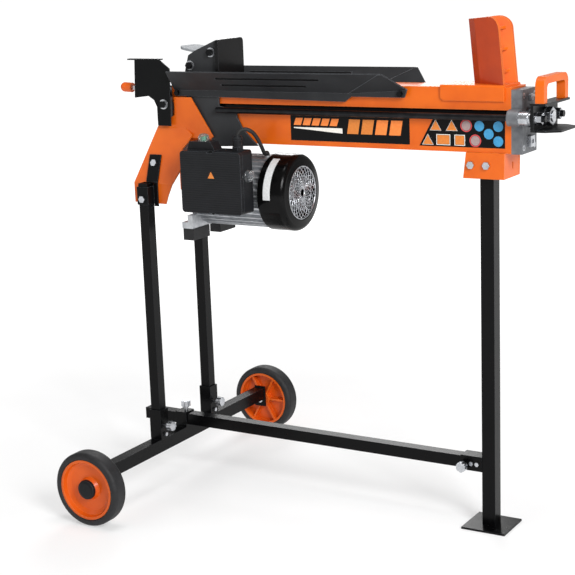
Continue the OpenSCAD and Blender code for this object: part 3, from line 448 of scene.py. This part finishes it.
green_button = plain_plastic("green moulded button", "#128C66", "#0C7052", 0.25)
dark_button = plain_plastic("dark moulded button", "#2A2E38", "#1D2028", 0.25)
label_film = plain_plastic("white label film", "#E9EAEA", "#D3D5D6", 0.4)
orange_print = plain_plastic("orange screen print", "#F58A3C", "#EC7A2A", 0.35)
pale_print = plain_plastic("pale screen print", "#F2EEE6", "#E4DFD6", 0.35)
blue_print = plain_plastic("blue screen print", "#3E97C6", "#2F86B6", 0.35)
red_print = plain_plastic("red screen print", "#D7474A", "#C2363A", 0.35)
amber_print = plain_plastic("amber screen print", "#DC8230", "#CE7324", 0.35)
dusty_print = plain_plastic("dusty pink screen print", "#A8908E", "#94807E", 0.35)

boot_vinyl = new_material("clear boot vinyl")
boot_rough, boot_normal = skin(boot_vinyl, None, 3, 0.05, 5, (0.08, 0.2), grain_detail=3.0)
finish_surface(boot_vinyl, drift(boot_vinyl, 8, "#DDE4E8", "#F4F7F8", ends=(0, 1)), boot_rough, boot_normal,
               Transmission_Weight=0.9, IOR=1.45, Alpha=0.5)
print("plastics and prints")

# %% [markdown]
# ## Floor paper
# The floor is seamless studio paper, lit from below as a light table is, and more so away from the
# machine, so it has no visible far edge. It has hardly any texture; the soft shadows ground the
# machine.

# %% Paint the floor
paper = new_material("studio paper")
paper_place = add(paper, "ShaderNodeTexCoord").outputs["Object"]
from_middle = add(paper, "ShaderNodeVectorMath", {"operation": "LENGTH"}, i0=paper_place).outputs["Value"]
glow = add(paper, "ShaderNodeMapRange", Value=from_middle, From_Min=0.9, From_Max=3.5, To_Min=0.42,
           To_Max=0.95).outputs["Result"]
fibres = add(paper, "ShaderNodeBump", Height=spots(paper, 3), Distance=0.00002).outputs["Normal"]
finish_surface(paper, drift(paper, 400, "#BEBEBE", "#C4C4C4"), 0.9, fibres, Emission_Color=(1, 1, 1, 1),
               Emission_Strength=glow)
floor.data.materials.append(paper)
print("floor painted")

# %% [markdown]
# ## Give every CAD piece its material
# The pieces keep their names from CAD, so the list reads like a parts list. Each piece has one
# material, because each was made and finished on its own before the machine was put together.

# %% Assign the materials
FINISHES = [
    (orange_enamel, "upper_channel lower_channel wedge_saddle front_side_bracket rear_side_bracket "
                    "foot_bracket carry_handle"),
    (wedge_enamel, "wedge"),
    (orange_plastic, "front_rim rear_rim lever_grip"),
    (tray_powder, "front_tray rear_tray"),
    (black_powder, "lever_guard bracket_straps"),
    (black_gloss, "left_legs axle_frame base_bar right_leg foot_plate leg_fittings cylinder_tube"),
    (black_plate, "yoke pusher_plate"),
    (slide_paint, "front_slide_plate rear_slide_plate"),
    (black_abs, "switch_box cable_gland front_hub_cap rear_hub_cap"),
    (ribbed_abs, "switch_box_cover"),
    (black_polished, "fan_cover side_panels"),
    (moulded_rubber, "motor_feet"),
    (tyre_rubber, "front_tyre rear_tyre"),
    (lead_rubber, "motor_lead"),
    (grey_iron, "cylinder_head valve_body pump_housing"),
    (silver_cast, "motor_housing motor_shield"),
    (dark_paint, "pusher_cover"),
    (zinc, "head_fittings lever_pin stand_bolts clamp_knobs rod_nuts control_lever valve_spool "
           "motor_rotor idler_gear fan_grille"),
    (pusher_bolt_zinc, "pusher_bolts"),
    (cover_bolt_zinc, "cover_bolts"),
    (chrome, "piston_rod"),
    (oxide_bar, "pull_rods"),
    (boot_vinyl, "switch_boots"),
    (green_button, "start_button"),
    (dark_button, "reset_button"),
]
dressed = set()
for finish, names in FINISHES:
    for name in names.split():
        nodes[name].data.materials.clear()
        nodes[name].data.materials.append(finish)
        dressed.add(name)
print(len(dressed), "pieces dressed; left over:", sorted(set(nodes) - dressed))

# %% [markdown]
# ## Motor lead
# The lead leaves the gland on the switch box, loops over and goes down into the motor. In CAD it is a
# ten-sided tube, which shows flats on a black glossy jacket, so a smooth curve with a round section
# takes its place along the same route.

# %% Smooth motor lead
lead_route = [(-158, -98, 745), (-158, -98, 759), (-154, -95, 768), (-145, -87, 771), (-136, -77, 764),
              (-131, -67, 750), (-129, -57, 734), (-131, -46, 722), (-135, -34, 716), (-139, -22, 717),
              (-142, -13, 713), (-142, -12, 703), (-142, -12, 692)]


def smooth_route(route, steps):
    points = [Vector(p) / 1000 for p in route]
    made = []
    for i in range(len(points) - 1):
        a, b = points[max(i - 1, 0)], points[i]
        c, d = points[i + 1], points[min(i + 2, len(points) - 1)]
        for k in range(steps):
            t = k / steps
            made.append(0.5 * (2 * b + (c - a) * t + (2 * a - 5 * b + 4 * c - d) * t ** 2
                               + (3 * b - a - 3 * c + d) * t ** 3))
    return made + [points[-1]]


def tube(name, centres, radius, sides=12, closed=False):
    """A round tube swept along a list of points, with rings that never twist."""
    points, faces = [], []
    count = len(centres)
    side = None
    for i, centre in enumerate(centres):
        ahead = centres[(i + 1) % count] if closed else centres[min(i + 1, count - 1)]
        behind = centres[(i - 1) % count] if closed else centres[max(i - 1, 0)]
        along = (ahead - behind).normalized()
        if side is None:
            side = along.orthogonal().normalized()
        side = (side - along * side.dot(along)).normalized()
        other = along.cross(side)
        points += [centre + radius * (side * math.cos(a) + other * math.sin(a))
                   for a in (math.tau * k / sides for k in range(sides))]
    for i in range(count if closed else count - 1):
        for k in range(sides):
            a, b = i * sides, (i + 1) % count * sides
            faces.append((a + k, a + (k + 1) % sides, b + (k + 1) % sides, b + k))
    if not closed:
        faces += [tuple(range(sides - 1, -1, -1)), tuple(range((count - 1) * sides, count * sides))]
    return mesh_object(name, points, faces, smooth=True)


def place(piece, material, body):
    piece.data.materials.append(material)
    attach(piece, body)
    return piece


lead = place(tube("motor_lead_jacket", smooth_route(lead_route, 6), 0.0039, 16), lead_rubber, "stand")
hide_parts("motor_lead")
print("lead with", len(lead.data.vertices), "points")

# %% [markdown]
# ## Fan guard
# The fan guard is a steel pressing: two sets of spiral bars cross and leave diamond holes that shrink
# towards the middle. It could be a texture with holes cut by transparency, but real bars catch the
# light on their edges and show the dark fan behind them, so each bar is a thin swept tube.

# %% Spiral fan guard
guard_low, guard_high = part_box("fan_grille")
guard_x = (guard_low[0] + guard_high[0]) / 2
guard_z = (guard_low[2] + guard_high[2]) / 2
guard_r = (guard_high[1] - guard_low[1]) / 2


def joined(name, parts):
    """Puts several mesh objects into one."""
    points, faces = [], []
    for part in parts:
        start = len(points)
        points += [v.co.copy() for v in part.data.vertices]
        faces += [tuple(start + i for i in face.vertices) for face in part.data.polygons]
        bpy.data.objects.remove(part)
    return mesh_object(name, points, faces, smooth=True)


bars = []
for way in (1, -1):
    for k in range(22):
        line = []
        for step in range(15):
            t = step / 14
            r = 0.008 + (guard_r - 0.003 - 0.008) * t
            a = math.tau * k / 22 + way * 1.15 * t
            line.append(Vector((guard_x + way * 0.0005, r * math.cos(a), guard_z + r * math.sin(a))))
        bars.append(tube("bar", line, 0.00085, 6))
for r, thick in ((guard_r - 0.0018, 0.0015), (0.0085, 0.0013), (guard_r * 0.62, 0.0007)):
    ring = [Vector((guard_x, r * math.cos(a), guard_z + r * math.sin(a))) for a in
            (math.tau * k / 72 for k in range(72))]
    bars.append(tube("ring", ring, thick, 8, closed=True))
guard = place(joined("fan_guard", bars), zinc, "stand")
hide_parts("fan_grille")
print("fan guard with", len(guard.data.polygons), "faces")

# %% [markdown]
# ## Blank rating strip
# A white strip is stuck round the fan cover's side. It is left blank. It follows the cover's curve, so
# it is made as a thin bent sheet, lifted a quarter of a millimetre off the plastic.

# %% Strip on the fan cover
cover_low, cover_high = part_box("fan_cover")
motor_axis_z = (cover_low[2] + cover_high[2]) / 2
cover_r = (cover_high[1] - cover_low[1]) / 2


def bent_strip(name, x0, x1, angle0, angle1, radius, thick, steps=28):
    """A strip bent round the motor's axis; the angle is measured from -Y towards +Z, in degrees."""
    points, faces = [], []
    for i in range(steps + 1):
        a = math.radians(angle0 + (angle1 - angle0) * i / steps)
        for x, r in ((x0, radius), (x1, radius), (x1, radius + thick), (x0, radius + thick)):
            points.append((x, -r * math.cos(a), motor_axis_z + r * math.sin(a)))
        if i:
            b = 4 * (i - 1)
            faces += [(b + k, b + (k + 1) % 4, b + 4 + (k + 1) % 4, b + 4 + k) for k in range(4)]
    faces += [(3, 2, 1, 0), tuple(4 * steps + k for k in range(4))]
    return mesh_object(name, points, faces)


strip_x0, strip_x1 = cover_low[0] + 0.013, cover_low[0] + 0.029
strip_start, strip_end = -4, 66
strip = bent_strip("rating_strip", strip_x0, strip_x1, strip_start, strip_end, cover_r, 0.0003)
place(strip, label_film, "stand")
print("strip is", round(math.radians(strip_end - strip_start) * cover_r * 1000), "mm long")

# %% [markdown]
# ## Prints on the side of the beam
# Two black panels carry prints. The real words and signs belong to a maker, so plain shapes take their
# place: slanted bars and a long taper on one, and rows of blank triangles, squares, rings and discs on
# the other. Screen print is a film, so each shape is a sheet a fifth of a millimetre thick.

# %% Flat printed shapes
panel_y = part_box("side_panels")[0][1]


def printed(name, outline, material, y=None, thick=0.00015, hole=None):
    """A thin flat shape from (x, z) points in mm; a hole outline has the same number of points."""
    y = panel_y if y is None else y
    count = len(outline)
    points, faces = [], []
    for depth in (y, y - thick):
        points += [(x / 1000, depth, z / 1000) for x, z in outline]
        if hole:
            points += [(x / 1000, depth, z / 1000) for x, z in hole]
    size = len(points) // 2
    for k in range(count):
        n = (k + 1) % count
        faces.append((k, n, size + n, size + k))
        if hole:
            faces.append((count + n, count + k, size + count + k, size + count + n))
            faces.append((size + k, size + n, size + count + n, size + count + k))
            faces.append((n, k, count + k, count + n))
    if not hole:
        faces += [tuple(range(size, 2 * size)), tuple(range(count - 1, -1, -1))]
    return place(mesh_object(name, points, faces), material, "stand")


def circle(x, z, r, sides=32, start=0.0):
    return [(x + r * math.cos(start + math.tau * k / sides), z + r * math.sin(start + math.tau * k / sides))
            for k in range(sides)]


print_lean = 5
print_top = 790
bar_low, block_low = 776, 762
for k, x0 in enumerate((-66, -46, -26, -6, 14)):
    x1 = x0 + 16
    printed(f"name_bar_{k}", [(x0, bar_low), (x1, bar_low), (x1 + print_lean, print_top),
                              (x0 + print_lean, print_top)], orange_print)
printed("name_taper", [(-66, 770), (42, 762), (42, 772), (-66, 772)], pale_print)
for k, x0 in enumerate((52, 82, 112, 142)):
    x1 = x0 + 24
    printed(f"name_block_{k}", [(x0, block_low), (x1, block_low), (x1 + print_lean, print_top),
                                (x0 + print_lean, print_top)], amber_print if k < 2 else orange_print)
print("name panel printed")

# %% [markdown]
# The second panel leans at its left end. Triangles sit first in both rows, then squares and rings, then
# the round blue ones, each in its own place as on any safety panel, but with nothing drawn inside.

# %% Rows of plain signs
def rectangle(x, z, wide, high):
    return [(x - wide, z - high), (x + wide, z - high), (x + wide, z + high), (x - wide, z + high)]


signs = 0
tip = math.pi / 2
for x, z in ((238.5, 781), (271, 781), (222.5, 754)):
    printed(f"triangle_{signs}", circle(x, z, 13.5, 3, tip), pale_print, hole=circle(x, z, 12.3, 3, tip))
    printed(f"triangle_fill_{signs}", circle(x, z, 11.6, 3, tip), amber_print)
    signs += 1
for x, z, wide in ((254, 757.5, 14), (287, 757.5, 10.5)):
    printed(f"square_{signs}", rectangle(x, z, wide, 10), pale_print, hole=rectangle(x, z, wide - 1.2, 8.8))
    printed(f"square_fill_{signs}", rectangle(x, z, wide - 1.8, 8.2), amber_print)
    signs += 1
for x, z in ((300, 784.5), (318, 757.5)):
    printed(f"ring_{signs}", circle(x, z, 11.5), red_print, hole=circle(x, z, 9.6))
    printed(f"ring_fill_{signs}", circle(x, z, 9), dusty_print)
    signs += 1
for x, z in ((326, 784.5), (344.5, 770.5), (363, 784.5), (363, 757.5)):
    printed(f"disc_{signs}", circle(x, z, 9.6), blue_print)
    signs += 1
print(signs, "plain signs")

# %% [markdown]
# ## Switch box details
# The cover carries a plain amber triangle in the middle and is held by two recessed screws in the
# notches at its top and bottom. Pan head screws are turned: a low dome with a cross cut into it. A
# screw is lathed here from a short profile; the cross is left out, because it would be too fine to see.

# %% Triangle and screws on the switch box
box_low, box_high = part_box("switch_box_cover")
face_y = box_low[1]


def lathe(name, profile, centre, axis, sides=24):
    """Turns (radius, height) points round an axis through centre."""
    axis = Vector(axis).normalized()
    side = axis.orthogonal().normalized()
    other = axis.cross(side)
    points, faces = [], []
    for r, h in profile:
        for k in range(sides):
            a = math.tau * k / sides
            points.append(Vector(centre) + axis * h + r * (side * math.cos(a) + other * math.sin(a)))
    for i in range(len(profile) - 1):
        for k in range(sides):
            n = (k + 1) % sides
            faces.append((i * sides + k, i * sides + n, (i + 1) * sides + n, (i + 1) * sides + k))
    last = (len(profile) - 1) * sides
    faces += [tuple(range(sides - 1, -1, -1)), tuple(range(last, last + sides))]
    return mesh_object(name, points, faces, smooth=True)


mark_x, mark_z = -203, 682
printed("cover_triangle", circle(mark_x, mark_z, 9, 3, tip), amber_print, y=face_y)
screw = [(0.0034, 0), (0.0036, 0.0008), (0.003, 0.0018), (0.0016, 0.0023), (0.0005, 0.0024)]
screw_x, screw_depth, from_rim = -0.204, 0.0046, 0.0012
for k, z in enumerate((box_low[2] + from_rim, box_high[2] - from_rim)):
    head = lathe(f"cover_screw_{k}", screw, (screw_x, face_y + screw_depth, z), (0, -1, 0))
    place(head, black_plate, "stand")
print("cover screws and mark")
